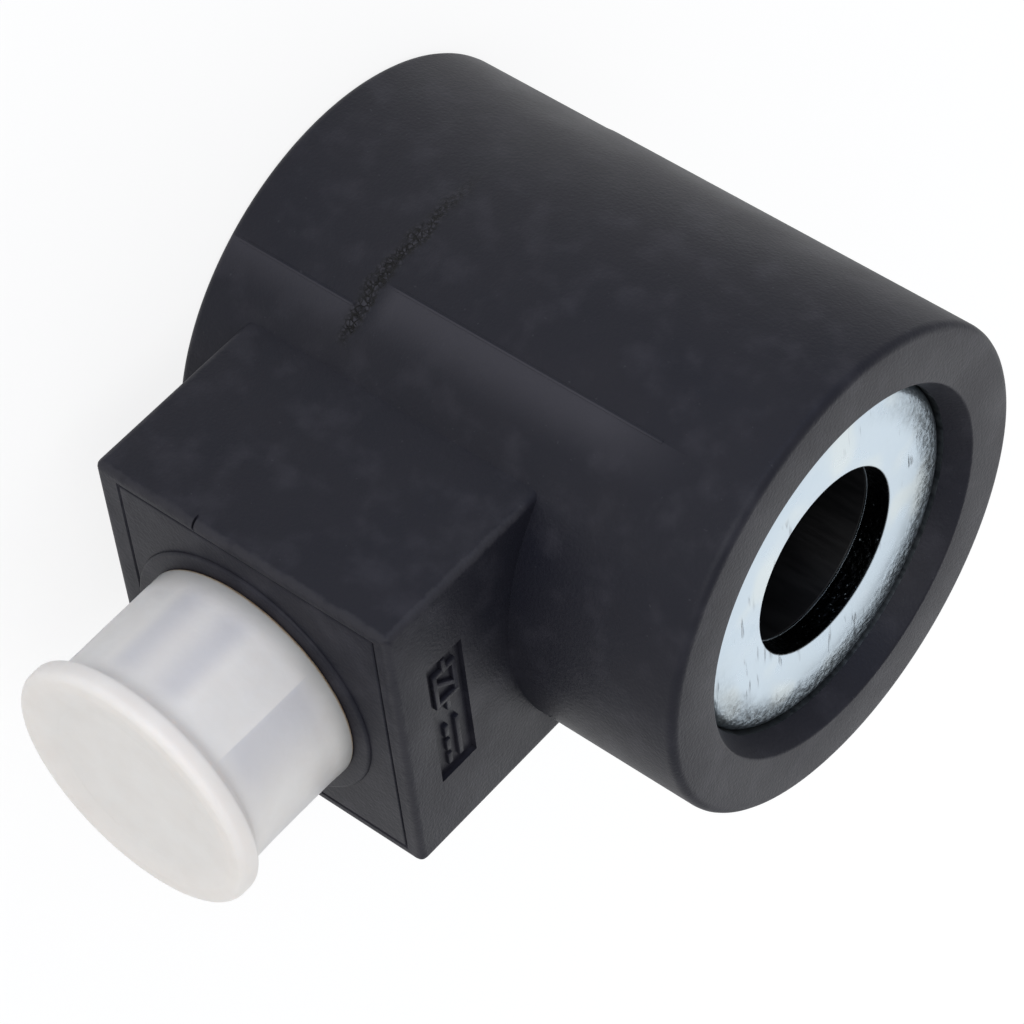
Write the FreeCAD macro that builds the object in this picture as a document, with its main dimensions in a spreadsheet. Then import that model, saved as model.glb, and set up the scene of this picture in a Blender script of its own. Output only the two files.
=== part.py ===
import FreeCAD, Part
import os
import re

import Sketcher

# Coil of a cartridge solenoid valve, in millimetres.
# +Z runs along the bore, from the seat on the valve to the nut. The origin is the centre of the
# bore on the rear flux plate's outer face. The connector points along -Y.

# Driving dimensions: name, value, what it is.
SIZES = (
    # moulded barrel
    ("barrel_diameter", 42.4, "outside of the moulded barrel"),
    ("barrel_length", 50.0, "ring face to ring face"),
    ("barrel_edge_round", 0.8, "rounding of both outer ring edges"),
    ("jacket_wall", 3.0, "plastic outside the flux tube"),
    ("recess_depth", 2.0, "ring face down to the flux plate"),
    ("recess_flare", 0.8, "how much wider the recess is at its mouth"),
    ("recess_gap", 0.2, "edge of the flux plate to the foot of the recess wall"),
    # connector block of the jacket
    ("block_width", 28.0, "across the bore"),
    ("block_length", 29.3, "along the bore"),
    ("block_start", 4.8, "rear ring face to the block's rear side"),
    ("block_standout", 12.2, "block's front face beyond the barrel"),
    ("block_edge_round", 0.7, "rounding of the block's edges"),
    ("panel_length", 13.7, "sunken panel in the block's side, across the bore"),
    ("panel_height", 4.0, "sunken panel, along the connector"),
    ("panel_depth", 0.5, "how far the panel is sunk"),
    ("panel_inset", 3.4, "block's front face to the panel"),
    # iron circuit
    ("bore_diameter", 16.0, "hole for the valve's stem"),
    ("plate_thickness", 2.2, "flux plates"),
    ("plate_edge_round", 1.0, "outer edge of a flux plate"),
    ("tube_wall", 3.0, "flux tube"),
    ("window_width", 13.0, "opening in the flux tube for the leads"),
    ("window_length", 10.0, "the same opening along the bore"),
    # bobbin and winding
    ("hub_wall", 1.2, "bobbin hub"),
    ("flange_thickness", 1.5, "bobbin flanges"),
    ("flange_gap", 0.3, "bobbin flange to flux tube"),
    ("potting_gap", 1.4, "plastic between the wrapped winding and the flux tube"),
    ("tape_thickness", 0.2, "insulating wrap"),
    # leads
    ("lead_diameter", 0.9, "bare wire end"),
    ("lead_gap", 0.1, "winding to the end of a lead, and lead end to terminal tail"),
    ("sleeve_wall", 0.45, "insulating sleeve"),
    ("ferrule_wall", 0.55, "crimped ferrule"),
    ("ferrule_length", 4.0, "crimped ferrule"),
    ("ferrule_gap", 0.2, "ferrule to the sleeve and to the header"),
    ("lead_fit", 0.05, "plastic around a sleeve or a ferrule"),
    # connector header
    ("header_margin_side", 1.2, "block's edge to the header's seam, across the bore"),
    ("header_margin_rear", 2.4, "the same on the rear side"),
    ("header_margin_front", 1.6, "the same on the front side"),
    ("header_thickness", 4.0, "header's base"),
    ("header_floor", 2.0, "base left below the cavity"),
    ("connector_side", 1.0, "connector's axis, to the side of the bore's axis"),
    ("connector_drop", 0.65, "connector's axis, to the rear of the block's middle"),
    ("boss_ledge", 1.45, "low round boss, beyond the dust cap's wall"),
    ("boss_height", 0.3, "low round boss"),
    ("shroud_width", 15.0, "outside, across the bore"),
    ("shroud_height", 10.6, "outside, along the bore"),
    ("shroud_wall", 1.4, "shroud"),
    ("shroud_corner", 1.5, "outer corner radius of the shroud"),
    ("shroud_length", 10.0, "beyond the block's front face"),
    # terminals
    ("blade_width", 2.8, "male blade"),
    ("blade_thickness", 0.8, "male blade"),
    ("blade_pitch", 7.0, "between the two blades"),
    ("blade_setback", 1.0, "shroud's rim to the blade's tip"),
    ("blade_bevel", 0.25, "bevel of the blade's tip"),
    ("tail_width", 0.6, "square tail in the ferrule"),
    # dust cap
    ("cap_fit", 0.85, "shroud's corners to the cap's wall"),
    ("cap_wall", 0.8, "cap's wall"),
    ("cap_headroom", 2.8, "shroud's rim to the closed end"),
    ("cap_floor", 1.0, "closed end"),
    ("cap_dish", 0.4, "end face sunk inside its rim"),
    ("cap_rim", 1.6, "width of the raised rim"),
    ("cap_flange_width", 1.2, "grip flange at the closed end, beyond the wall"),
    ("cap_flange_thickness", 2.2, "grip flange"),
    ("cap_flange_round", 0.7, "rounding of the grip flange"),
)

# Radii and places that follow from the dimensions above.
FOLLOWS = {
    "barrel_radius": "barrel_diameter / 2",
    "rear_ring": "0 - recess_depth",
    "front_ring": "barrel_length - recess_depth",
    "front_plate_face": "barrel_length - 2 * recess_depth",
    "bore_radius": "bore_diameter / 2",
    "tube_outer": "barrel_radius - jacket_wall",
    "tube_inner": "tube_outer - tube_wall",
    "recess_foot": "tube_inner + recess_gap",
    "recess_mouth": "recess_foot + recess_flare",
    "hub_radius": "bore_radius + hub_wall",
    "flange_radius": "tube_inner - flange_gap",
    "tape_outer": "tube_inner - potting_gap",
    "winding_radius": "tape_outer - tape_thickness",
    "bobbin_rear": "plate_thickness",
    "bobbin_front": "front_plate_face - plate_thickness",
    "winding_rear": "bobbin_rear + flange_thickness",
    "winding_front": "bobbin_front - flange_thickness",
    "block_side": "block_width / 2",
    "block_rear": "rear_ring + block_start",
    "block_top": "block_rear + block_length",
    "block_face": "barrel_radius + block_standout",
    "connector_axis": "block_rear + block_length / 2 - connector_drop",
    "header_side": "block_side - header_margin_side",
    "header_rear": "block_rear + header_margin_rear",
    "header_front": "block_top - header_margin_front",
    "header_back": "block_face - header_thickness",
    "cavity_floor": "header_back + header_floor",
    "boss_face": "block_face + boss_height",
    "shroud_rim": "block_face + shroud_length",
    "ferrule_end": "header_back - ferrule_gap",
    "ferrule_start": "ferrule_end - ferrule_length",
    "ferrule_middle": "ferrule_end - ferrule_length / 2",
    "ferrule_radius": "lead_diameter / 2 + ferrule_wall",
    "sleeve_radius": "lead_diameter / 2 + sleeve_wall",
    "sleeve_start": "tape_outer + lead_gap",
    "sleeve_end": "ferrule_start - ferrule_gap",
    "shroud_run": "shroud_width / 2 - shroud_corner",
    "shroud_rise": "shroud_height / 2 - shroud_corner",
    "shroud_reach": "sqrt(shroud_run ^ 2 + shroud_rise ^ 2) + shroud_corner",
    "cap_inner": "shroud_reach + cap_fit",
    "cap_radius": "cap_inner + cap_wall",
    "cap_floor_inner": "shroud_rim + cap_headroom",
    "cap_floor_outer": "cap_floor_inner + cap_floor",
    "cap_end": "cap_floor_outer + cap_dish",
    "cap_flange_radius": "cap_radius + cap_flange_width",
    "cap_flange_start": "cap_end - cap_flange_thickness",
}

ALIASES = {alias for alias, number, note in SIZES}
WORD = re.compile(r"[a-z_]{3,}")

doc = FreeCAD.newDocument("valve_coil")
sheet = doc.addObject("Spreadsheet::Sheet", "Dimensions")
for row, (alias, number, note) in enumerate(SIZES, 1):
    sheet.set(f"A{row}", alias)
    sheet.set(f"B{row}", str(number))
    sheet.set(f"C{row}", note)
    sheet.setAlias(f"B{row}", alias)
doc.recompute()


def formula(text):
    """The sheet expression for a sum of named dimensions."""

    def swap(match):
        word = match.group(0)
        if word in ALIASES:
            return f"Dimensions.{word}"
        if word in FOLLOWS:
            return f"({formula(FOLLOWS[word])})"
        return word

    return WORD.sub(swap, text)


def value(text):
    """The same sum as a number."""
    return float(sheet.evalExpression(formula(text)))


def bind(thing, **sums):
    """Bind properties of a thing to sums of named dimensions."""
    for name, text in sums.items():
        thing.setExpression(name.replace("__", "."), formula(text))


def new_body(label):
    body = doc.addObject("PartDesign::Body", label)
    body.Label = label
    body.Placement = FreeCAD.Placement()
    return body


def new_sketch(body, name, role, lift):
    """An empty sketch on one of the body's origin planes, lifted along the plane's normal."""
    sketch = body.newObject("Sketcher::SketchObject", name)
    plane = next(item for item in body.Origin.OriginFeatures if item.Role == role)
    sketch.AttachmentSupport = [(plane, "")]
    sketch.MapMode = "FlatFace"
    bind(sketch, AttachmentOffset__Base__z=lift)
    return sketch


def pin_point(sketch, element, place, across, up):
    """Tie one point of a sketch to named dimensions."""
    for kind, text in (("DistanceX", across), ("DistanceY", up)):
        tie = Sketcher.Constraint(kind, -1, 1, element, place, value(text))
        number = sketch.addConstraint(tie)
        sketch.setExpression(f"Constraints[{number}]", formula(text))


def add_outline(sketch, corners):
    """A closed outline of straight edges through corners given as sums."""
    points = [FreeCAD.Vector(value(across), value(up), 0) for across, up in corners]
    ends = points[1:] + points[:1]
    first = sketch.GeometryCount
    for start, end in zip(points, ends):
        sketch.addGeometry(Part.LineSegment(start, end))
    for step in range(len(points)):
        following = first + (step + 1) % len(points)
        sketch.addConstraint(Sketcher.Constraint("Coincident", first + step, 2, following, 1))
    for step, (across, up) in enumerate(corners):
        pin_point(sketch, first + step, 1, across, up)


def add_rectangle(sketch, left, right, low, high):
    add_outline(sketch, ((left, low), (right, low), (right, high), (left, high)))


def add_circle(sketch, across, up, radius):
    centre = FreeCAD.Vector(value(across), value(up), 0)
    circle = Part.Circle(centre, FreeCAD.Vector(0, 0, 1), value(radius))
    element = sketch.addGeometry(circle)
    pin_point(sketch, element, 3, across, up)
    number = sketch.addConstraint(Sketcher.Constraint("Radius", element, value(radius)))
    sketch.setExpression(f"Constraints[{number}]", formula(radius))


def turn(body, name, corners, kind="PartDesign::Revolution", role="XZ_Plane"):
    """Revolve an outline of (radius, height) corners about the sketch's upright axis."""
    sketch = new_sketch(body, f"{name}_section", role, "0")
    add_outline(sketch, corners)
    feature = body.newObject(kind, name)
    feature.Profile = (sketch, [""])
    feature.ReferenceAxis = (sketch, ["V_Axis"])
    feature.Angle = 360
    doc.recompute()
    return feature


def extrude(body, name, sketch, length, kind="PartDesign::Pad", reverse=False):
    feature = body.newObject(kind, name)
    feature.Profile = (sketch, [""])
    feature.Reversed = reverse
    bind(feature, Length=length)
    doc.recompute()
    return feature


def round_edges(body, name, radius, wanted, kind="PartDesign::Fillet", size="Radius"):
    """Fillet or bevel the edges of the body that a test picks out."""
    base = body.Tip
    names = [f"Edge{number}" for number, edge in enumerate(base.Shape.Edges, 1) if wanted(edge)]
    feature = body.newObject(kind, name)
    feature.Base = (base, names)
    bind(feature, **{size: radius})
    doc.recompute()
    return feature


def near(one, other):
    return abs(one - other) < 1e-4


def runs_along(edge, axis):
    """A straight edge that is parallel to the axis numbered 0, 1 or 2."""
    ends = [vertex.Point for vertex in edge.Vertexes]
    if len(ends) < 2:
        return False
    gaps = [abs(ends[0][step] - ends[1][step]) for step in range(3)]
    return near(sum(gaps), gaps[axis])


def circle_at(edge, radius, axis, level):
    """A round edge of a given radius whose centre lies at a level along an axis."""
    curve = edge.Curve
    if not isinstance(curve, Part.Circle):
        return False
    return near(curve.Radius, radius) and near(curve.Center[axis], level)


def lies_at(edge, axis, level):
    return all(near(vertex.Point[axis], level) for vertex in edge.Vertexes)


# The jacket: barrel and connector block in one moulding, which also fills the flux tube.
def make_jacket():
    body = new_body("coil_jacket")
    turn(body, "barrel", (
        ("0", "rear_ring"),
        ("barrel_radius", "rear_ring"),
        ("barrel_radius", "front_ring"),
        ("0", "front_ring"),
    ))
    radius = value("barrel_radius")
    levels = (value("rear_ring"), value("front_ring"))
    round_edges(body, "barrel_edges", "barrel_edge_round",
                lambda edge: any(circle_at(edge, radius, 2, level) for level in levels))

    sketch = new_sketch(body, "block_outline", "XZ_Plane", "0")
    add_rectangle(sketch, "0 - block_side", "block_side", "block_rear", "block_top")
    extrude(body, "block", sketch, "block_face")
    side = value("block_side")
    front = -value("block_face")
    round_edges(body, "block_edges", "block_edge_round",
                lambda edge: lies_at(edge, 1, front)
                or (runs_along(edge, 1) and near(abs(edge.Vertexes[0].Point.x), side)))

    turn(body, "iron_space", (
        ("0", "rear_ring"),
        ("recess_mouth", "rear_ring"),
        ("recess_foot", "0"),
        ("tube_outer", "0"),
        ("tube_outer", "front_plate_face"),
        ("recess_foot", "front_plate_face"),
        ("recess_mouth", "front_ring"),
        ("0", "front_ring"),
    ), kind="PartDesign::Groove")

    # The window fill joins the plastic outside the flux tube to the plastic inside it.
    sketch = new_sketch(body, "window_fill_outline", "XZ_Plane", "tape_outer + lead_gap")
    add_rectangle(sketch, "connector_side - window_width / 2", "connector_side + window_width / 2",
                  "connector_axis - window_length / 2", "connector_axis + window_length / 2")
    extrude(body, "window_fill", sketch, "tube_outer - tape_outer")
    turn(body, "potting", (
        ("tape_outer", "winding_rear"),
        ("tube_inner", "winding_rear"),
        ("tube_inner", "winding_front"),
        ("tape_outer", "winding_front"),
    ))

    sketch = new_sketch(body, "header_seat_outline", "XZ_Plane", "header_back")
    add_rectangle(sketch, "0 - header_side", "header_side", "header_rear", "header_front")
    extrude(body, "header_seat", sketch, "header_thickness", "PartDesign::Pocket", reverse=True)

    add_lead_holes(body, "sleeve_holes", "0", "sleeve_radius + lead_fit", "header_back")
    add_lead_holes(body, "ferrule_holes", "ferrule_start - ferrule_gap",
                   "ferrule_radius + lead_fit", "ferrule_length + 2 * ferrule_gap")

    sketch = new_sketch(body, "panel_outline", "XY_Plane", "block_top - panel_depth")
    add_rectangle(sketch, "0 - panel_length / 2", "panel_length / 2",
                  "0 - block_face + panel_inset", "0 - block_face + panel_inset + panel_height")
    extrude(body, "panel", sketch, "panel_depth", "PartDesign::Pocket", reverse=True)
    return body


def add_lead_holes(body, name, start, radius, length):
    """Two round holes in line with the blades, cut along -Y from a distance off the bore's axis."""
    sketch = new_sketch(body, f"{name}_outline", "XZ_Plane", start)
    for side in ("-", "+"):
        add_circle(sketch, f"connector_side {side} blade_pitch / 2", "connector_axis", radius)
    extrude(body, name, sketch, length, "PartDesign::Pocket", reverse=True)


# Iron circuit: a tube pressed over a ring-shaped plate at each end.
def make_flux_tube():
    body = new_body("flux_tube")
    turn(body, "tube", (
        ("tube_inner", "0"),
        ("tube_outer", "0"),
        ("tube_outer", "front_plate_face"),
        ("tube_inner", "front_plate_face"),
    ))
    sketch = new_sketch(body, "window_outline", "XZ_Plane", "0")
    add_rectangle(sketch, "connector_side - window_width / 2", "connector_side + window_width / 2",
                  "connector_axis - window_length / 2", "connector_axis + window_length / 2")
    extrude(body, "window", sketch, "barrel_radius", "PartDesign::Pocket", reverse=True)
    return body


def make_flux_plate(label, inner_face, outer_face):
    body = new_body(label)
    turn(body, "plate", (
        ("bore_radius", inner_face),
        ("tube_inner", inner_face),
        ("tube_inner", outer_face),
        ("bore_radius", outer_face),
    ))
    radius = value("tube_inner")
    level = value(outer_face)
    round_edges(body, "plate_edge", "plate_edge_round",
                lambda edge: circle_at(edge, radius, 2, level))
    return body


# Bobbin, winding and wrap.
def make_bobbin():
    body = new_body("bobbin")
    turn(body, "spool", (
        ("bore_radius", "bobbin_rear"),
        ("flange_radius", "bobbin_rear"),
        ("flange_radius", "winding_rear"),
        ("hub_radius", "winding_rear"),
        ("hub_radius", "winding_front"),
        ("flange_radius", "winding_front"),
        ("flange_radius", "bobbin_front"),
        ("bore_radius", "bobbin_front"),
    ))
    return body


def make_ring(label, inner, outer):
    """A plain ring that fills the bobbin from flange to flange."""
    body = new_body(label)
    turn(body, "ring", (
        (inner, "winding_rear"),
        (outer, "winding_rear"),
        (outer, "winding_front"),
        (inner, "winding_front"),
    ))
    return body


def make_winding_tape():
    body = make_ring("winding_tape", "winding_radius", "tape_outer")
    sketch = new_sketch(body, "lead_exit_outline", "XZ_Plane", "0")
    reach = "blade_pitch / 2 + sleeve_radius"
    add_rectangle(sketch, f"connector_side - ({reach})", f"connector_side + ({reach})",
                  "connector_axis - sleeve_radius", "connector_axis + sleeve_radius")
    extrude(body, "lead_exit", sketch, "barrel_radius", "PartDesign::Pocket", reverse=True)
    return body


# Leads: each is a bare wire end, a sleeve and a crimped ferrule in line with its blade.
def add_rod(name, across, start, end, radius):
    """A round rod along -Y between two distances from the bore's axis."""
    rod = doc.addObject("Part::Cylinder", name)
    rod.Label = name
    turned = FreeCAD.Rotation(FreeCAD.Vector(1, 0, 0), 90)
    rod.Placement = FreeCAD.Placement(FreeCAD.Vector(), turned)
    bind(rod, Radius=radius, Height=f"({end}) - ({start})", Placement__Base__x=across,
         Placement__Base__y=f"0 - ({start})", Placement__Base__z="connector_axis")
    return rod


def add_sleeve(label, across, start, end, outer):
    """A tube around the lead between two distances from the bore's axis."""
    tube = doc.addObject("Part::Cut", label)
    tube.Label = label
    tube.Base = add_rod(f"{label}_outside", across, start, end, outer)
    tube.Tool = add_rod(f"{label}_hole", across, start, end, "lead_diameter / 2")
    return tube


def make_lead(number, side):
    across = f"connector_side {side} blade_pitch / 2"
    # The wire starts where its near side would meet the round winding.
    reach = f"(abs({across}) - lead_diameter / 2)"
    start = f"sqrt(winding_radius ^ 2 - {reach} ^ 2) + lead_gap"
    return [
        add_rod(f"lead_wire_{number}", across, start, "ferrule_middle", "lead_diameter / 2"),
        add_sleeve(f"lead_sleeve_{number}", across, "sleeve_start", "sleeve_end", "sleeve_radius"),
        add_sleeve(f"crimp_ferrule_{number}", across, "ferrule_start", "ferrule_end",
                   "ferrule_radius"),
        make_terminal(f"terminal_blade_{number}", across),
    ]


def make_terminal(label, across):
    """A flat blade through the header's floor, with a square tail in the ferrule."""
    body = new_body(label)
    sketch = new_sketch(body, "blade_outline", "XZ_Plane", "header_back")
    add_rectangle(sketch, f"{across} - blade_thickness / 2", f"{across} + blade_thickness / 2",
                  "connector_axis - blade_width / 2", "connector_axis + blade_width / 2")
    extrude(body, "blade", sketch, "shroud_rim - blade_setback - header_back")
    tip = -value("shroud_rim - blade_setback")
    round_edges(body, "blade_tip", "blade_bevel", lambda edge: lies_at(edge, 1, tip),
                "PartDesign::Chamfer", "Size")
    sketch = new_sketch(body, "tail_outline", "XZ_Plane", "ferrule_middle + lead_gap")
    add_rectangle(sketch, f"{across} - tail_width / 2", f"{across} + tail_width / 2",
                  "connector_axis - tail_width / 2", "connector_axis + tail_width / 2")
    extrude(body, "tail", sketch, "header_back - ferrule_middle - lead_gap")
    return body


# Connector header: a flat insert in the block's face, with a low boss and a shroud.
def make_header():
    body = new_body("connector_header")
    sketch = new_sketch(body, "base_outline", "XZ_Plane", "header_back")
    add_rectangle(sketch, "0 - header_side", "header_side", "header_rear", "header_front")
    extrude(body, "base", sketch, "header_thickness")

    sketch = new_sketch(body, "boss_outline", "XZ_Plane", "block_face")
    add_circle(sketch, "connector_side", "connector_axis", "cap_radius + boss_ledge")
    extrude(body, "boss", sketch, "boss_height")

    sketch = new_sketch(body, "shroud_outline", "XZ_Plane", "block_face")
    add_centred(sketch, "shroud_width / 2", "shroud_height / 2")
    extrude(body, "shroud", sketch, "shroud_length")
    half = (value("shroud_width / 2"), value("shroud_height / 2"))
    round_edges(body, "shroud_corners", "shroud_corner", lambda edge: is_upright(edge, *half))

    sketch = new_sketch(body, "cavity_outline", "XZ_Plane", "cavity_floor")
    add_centred(sketch, "shroud_width / 2 - shroud_wall", "shroud_height / 2 - shroud_wall")
    extrude(body, "cavity", sketch, "shroud_rim - cavity_floor", "PartDesign::Pocket", reverse=True)

    sketch = new_sketch(body, "blade_slots_outline", "XZ_Plane", "header_back")
    for side in ("-", "+"):
        across = f"connector_side {side} blade_pitch / 2"
        add_rectangle(sketch, f"{across} - blade_thickness / 2", f"{across} + blade_thickness / 2",
                      "connector_axis - blade_width / 2", "connector_axis + blade_width / 2")
    extrude(body, "blade_slots", sketch, "header_floor", "PartDesign::Pocket", reverse=True)
    return body


def add_centred(sketch, half_width, half_height):
    """A rectangle about the connector's axis."""
    add_rectangle(sketch, f"connector_side - ({half_width})", f"connector_side + ({half_width})",
                  f"connector_axis - ({half_height})", f"connector_axis + ({half_height})")


def is_upright(edge, half_width, half_height):
    """An edge along the connector at a corner of a centred rectangle."""
    point = edge.Vertexes[0].Point
    across = abs(point.x - value("connector_side"))
    up = abs(point.z - value("connector_axis"))
    return runs_along(edge, 1) and near(across, half_width) and near(up, half_height)


# Dust cap: a thin cup over the shroud with a grip flange round its closed end.
def make_dust_cap():
    body = new_body("dust_cap")
    bind(body, Placement__Base__x="connector_side", Placement__Base__z="connector_axis")
    turn(body, "cup", (
        ("cap_inner", "0 - boss_face"),
        ("cap_radius", "0 - boss_face"),
        ("cap_radius", "0 - cap_flange_start"),
        ("cap_flange_radius", "0 - cap_flange_start"),
        ("cap_flange_radius", "0 - cap_end"),
        ("cap_flange_radius - cap_rim", "0 - cap_end"),
        ("cap_flange_radius - cap_rim - cap_dish", "0 - cap_floor_outer"),
        ("0", "0 - cap_floor_outer"),
        ("0", "0 - cap_floor_inner"),
        ("cap_inner", "0 - cap_floor_inner"),
    ), role="XY_Plane")
    radius = value("cap_flange_radius")
    levels = (-value("cap_end"), -value("cap_flange_start"))
    round_edges(body, "flange_edges", "cap_flange_round",
                lambda edge: any(circle_at(edge, radius, 1, level) for level in levels))
    return body


def check_and_write(pieces):
    """Refuse a document with a failed object, then write each piece to its own file."""
    doc.recompute()
    for item in doc.Objects:
        if "Invalid" in item.State or "Error" in item.State:
            raise RuntimeError(f"{item.Label} failed: {item.State}")
    os.makedirs("parts", exist_ok=True)
    for piece in pieces:
        shape = piece.Shape
        if shape.isNull() or not shape.isValid() or len(shape.Solids) != 1:
            raise RuntimeError(f"{piece.Label} is not one sound solid")
    for piece in pieces:
        piece.Shape.exportStep(f"parts/{piece.Label}.step")
        print(piece.Label, round(piece.Shape.Volume, 1))


check_and_write([
    make_jacket(),
    make_flux_tube(),
    make_flux_plate("front_flux_plate", "bobbin_front", "front_plate_face"),
    make_flux_plate("rear_flux_plate", "bobbin_rear", "0"),
    make_bobbin(),
    make_ring("winding", "hub_radius", "winding_radius"),
    make_winding_tape(),
    *make_lead(1, "-"),
    *make_lead(2, "+"),
    make_header(),
    make_dust_cap(),
])
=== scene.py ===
import math

import bmesh
import bpy
from mathutils import Matrix, Vector


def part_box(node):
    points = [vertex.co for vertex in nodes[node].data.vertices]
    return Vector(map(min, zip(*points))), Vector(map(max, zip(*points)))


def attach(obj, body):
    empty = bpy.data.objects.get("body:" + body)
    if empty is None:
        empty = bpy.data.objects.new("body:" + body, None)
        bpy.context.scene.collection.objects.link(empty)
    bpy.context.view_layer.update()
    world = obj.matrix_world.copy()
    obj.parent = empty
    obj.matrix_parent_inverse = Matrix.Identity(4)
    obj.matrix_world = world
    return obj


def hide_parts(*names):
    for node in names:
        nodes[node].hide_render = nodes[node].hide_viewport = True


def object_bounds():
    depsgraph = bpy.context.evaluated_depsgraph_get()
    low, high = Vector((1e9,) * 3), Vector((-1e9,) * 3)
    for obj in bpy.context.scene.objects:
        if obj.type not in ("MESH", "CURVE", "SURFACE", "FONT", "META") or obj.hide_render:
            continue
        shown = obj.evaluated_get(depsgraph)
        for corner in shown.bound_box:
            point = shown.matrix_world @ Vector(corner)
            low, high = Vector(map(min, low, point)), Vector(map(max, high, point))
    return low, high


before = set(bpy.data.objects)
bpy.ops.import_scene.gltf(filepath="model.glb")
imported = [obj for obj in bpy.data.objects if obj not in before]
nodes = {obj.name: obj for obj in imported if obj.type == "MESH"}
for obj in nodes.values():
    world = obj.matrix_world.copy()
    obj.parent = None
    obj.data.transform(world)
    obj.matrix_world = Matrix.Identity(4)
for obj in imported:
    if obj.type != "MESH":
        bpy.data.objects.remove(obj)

cad_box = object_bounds()
MM = 0.001


# ---- Coil jacket ---------------------------------------------------------------------------
# One moulding of black glass-filled nylon: the barrel round the flux tube and the square
# connector block on its side. Both ends have a shallow recess that bares the flux plates.

jacket_low, jacket_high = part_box("coil_jacket")
header_low, header_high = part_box("connector_header")
tube_low, tube_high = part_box("flux_tube")
plate_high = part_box("front_flux_plate")[1]

BARREL_RADIUS = jacket_high.x
REAR_RING = jacket_low.z
FRONT_RING = jacket_high.z
TUBE_RADIUS = tube_high.x
RECESS_FOOT = plate_high.x + 0.02 * MM
RECESS_MOUTH = plate_high.x + MM
# Plastic that ran into the groove round each flux plate's rolled edge.
WEDGE_REACH = 0.18 * MM
WEDGE_DROP = 0.45 * MM
WEDGE_DEPTH = 1.2 * MM
WEDGE_LIP = 0.08 * MM
RING_EDGE = 0.8 * MM
RECESS_EDGE = 0.25 * MM
BARREL_STEPS = 256

# The mould splits across the bore here; its rear part is a hair smaller.
SPLIT = 12.4 * MM
SPLIT_STEP = 0.06 * MM
SPLIT_RUN = 0.12 * MM

BLOCK_SIDE = 14.0 * MM
BLOCK_FACE = jacket_low.y
BLOCK_REAR = REAR_RING + 4.8 * MM
BLOCK_TOP = BLOCK_REAR + 29.3 * MM
BLOCK_INNER_END = -TUBE_RADIUS * 0.8
BLOCK_EDGE = 0.65 * MM
HEADER_BACK = header_high.y
SEAM_EDGE = 0.16 * MM
SEAM_GAP = 0.05 * MM

PANEL_HALF = 6.85 * MM
PANEL_FRONT = BLOCK_FACE + 3.4 * MM
PANEL_BACK = PANEL_FRONT + 4.0 * MM
PANEL_DEPTH = 0.5 * MM
HEADER_SIDE = 12.8 * MM
HEADER_REAR = BLOCK_REAR + 2.4 * MM
HEADER_FRONT = BLOCK_TOP - 1.6 * MM

NICK_DEPTH = 0.65 * MM
NICK_WIDTH = 0.22 * MM
NICK_OFFSET = 0.5 * MM
# Each flash line: (degrees from the block's middle towards -X, low end, high end).
FLASH_LINES = ((62.6, SPLIT + 0.9 * MM, 39.2 * MM), (55.5, -0.8 * MM, SPLIT - 1.6 * MM))
FLASH_WIDTH = 0.34 * MM
FLASH_HEIGHT = 0.05 * MM
MARK_HEIGHT = 0.38 * MM
MARK_STROKE = 0.48 * MM
MARK_LAP = 0.9
MARK_STEP = 0.008 * MM
MARK_EDGE = 0.08 * MM
MARK_FOOT = 0.1 * MM


def finish_piece(shape, name, body, smooth_angle=30, replaces=()):
    """Turn a bmesh into a piece of the object that rides a body."""
    bmesh.ops.recalc_face_normals(shape, faces=shape.faces)
    mesh = bpy.data.meshes.new(name)
    shape.to_mesh(mesh)
    shape.free()
    piece = bpy.data.objects.new(name, mesh)
    bpy.context.scene.collection.objects.link(piece)
    shade(piece, smooth_angle)
    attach(piece, body)
    if replaces:
        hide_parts(*replaces)
    return piece


def shade(piece, smooth_angle=30):
    """Smooth shading that breaks at sharp edges."""
    piece.data.shade_smooth()
    piece.data.set_sharp_from_angle(angle=math.radians(smooth_angle))


def spin_outline(shape, points, steps):
    """Spin a closed outline of (radius, height) points into a ring about Z."""
    corners = [shape.verts.new((radius, 0, height)) for radius, height in points]
    rim = [shape.edges.new(pair) for pair in zip(corners, corners[1:] + corners[:1])]
    bmesh.ops.spin(shape, geom=corners + rim, cent=(0, 0, 0), axis=(0, 0, 1), dvec=(0, 0, 0),
                   angle=math.tau, steps=steps, use_merge=True)
    bmesh.ops.remove_doubles(shape, verts=shape.verts, dist=0.0005 * MM)


def rounded(corners, steps=5):
    """An outline from (across, up, radius) corners, each rounded by its radius."""
    outline = []
    for number, (across, up, radius) in enumerate(corners):
        here = Vector((across, up))
        if not radius:
            outline.append(tuple(here))
            continue
        back = (Vector(corners[number - 1][:2]) - here).normalized()
        ahead = (Vector(corners[(number + 1) % len(corners)][:2]) - here).normalized()
        half = back.angle(ahead) / 2
        middle = here + (back + ahead).normalized() * radius / math.sin(half)
        start = here + back * radius / math.tan(half) - middle
        end = here + ahead * radius / math.tan(half) - middle
        for step in range(steps + 1):
            outline.append(tuple(middle + start.slerp(end, step / steps) * radius))
    return outline


def box_shape(low, high):
    """A bmesh box between two corners."""
    shape = bmesh.new()
    bmesh.ops.create_cube(shape, size=1)
    low, high = Vector(low), Vector(high)
    bmesh.ops.scale(shape, vec=high - low, verts=shape.verts)
    bmesh.ops.translate(shape, vec=(low + high) / 2, verts=shape.verts)
    return shape


def bevel_edges(shape, edges, offset, segments):
    """Round some edges of a bmesh."""
    bmesh.ops.bevel(shape, geom=edges, offset=offset, offset_type="OFFSET", segments=segments,
                    affect="EDGES", profile=0.5, material=-1, clamp_overlap=True)


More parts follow.
